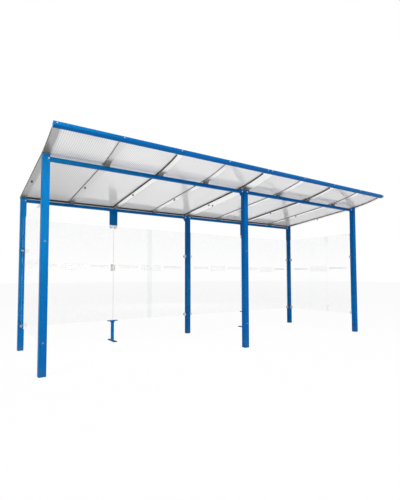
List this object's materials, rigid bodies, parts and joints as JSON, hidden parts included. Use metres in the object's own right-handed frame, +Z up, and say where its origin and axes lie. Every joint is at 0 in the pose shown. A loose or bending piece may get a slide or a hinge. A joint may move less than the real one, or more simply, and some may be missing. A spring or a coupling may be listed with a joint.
{
  "type": "open smoking shelter",
  "caption": "Open-fronted shelter with square blue steel posts, clear glass rear and end walls, and a swept-up translucent roof on metal glazing bars behind a front rail.",
  "frame": {"origin": "ground level, under the middle of the whole outline in length and depth", "axes": "+X along the length towards the right end, +Y from the open front to the rear wall, +Z up"},
  "size_m": [5.07, 2.087, 2.2558],
  "materials": {
    "blue_paint": "gloss powder coat",
    "roof_sheet": "translucent multiwall sheet",
    "bar_metal": "mill finish",
    "clear_glass": "clear toughened glass",
    "clamp_steel": "satin",
    "joint_plate": "smooth",
    "dark_rubber": "matt"
  },
  "bodies": {
    "root": {"beam_front_left": "blue_paint", "beam_front_right": "blue_paint", "beam_rear_left": "blue_paint", "beam_rear_right": "blue_paint", "corner_brackets": "blue_paint", "drop_plates": "blue_paint", "end_glass_left": "clear_glass", "end_glass_right": "clear_glass", "glass_clamps": "clamp_steel", "pane_joint_plates": "joint_plate", "post_front_centre": "blue_paint", "post_front_left": "blue_paint", "post_front_right": "blue_paint", "post_heads": "blue_paint", "post_rear_centre": "blue_paint", "post_rear_left": "blue_paint", "post_rear_right": "blue_paint", "rail_front_left": "blue_paint", "rail_front_right": "blue_paint", "rear_glass_1": "clear_glass", "rear_glass_2": "clear_glass", "rear_glass_3": "clear_glass", "rear_glass_4": "clear_glass", "rear_seal": "dark_rubber", "rib_covers": "bar_metal", "rib_packers_end": "bar_metal", "rib_packers_front": "dark_rubber", "rib_packers_rear": "bar_metal", "roof_panel_1": "roof_sheet", "roof_panel_2": "roof_sheet", "roof_panel_3": "roof_sheet", "roof_panel_4": "roof_sheet", "roof_panel_5": "roof_sheet", "roof_panel_6": "roof_sheet", "roof_panel_7": "roof_sheet", "roof_panel_8": "roof_sheet", "roof_rib_1": "bar_metal", "roof_rib_10": "bar_metal", "roof_rib_2": "bar_metal", "roof_rib_3": "bar_metal", "roof_rib_4": "bar_metal", "roof_rib_5": "bar_metal", "roof_rib_6": "bar_metal", "roof_rib_7": "bar_metal", "roof_rib_8": "bar_metal", "roof_rib_9": "bar_metal", "stub_feet": "blue_paint"}
  },
  "joints": []
}
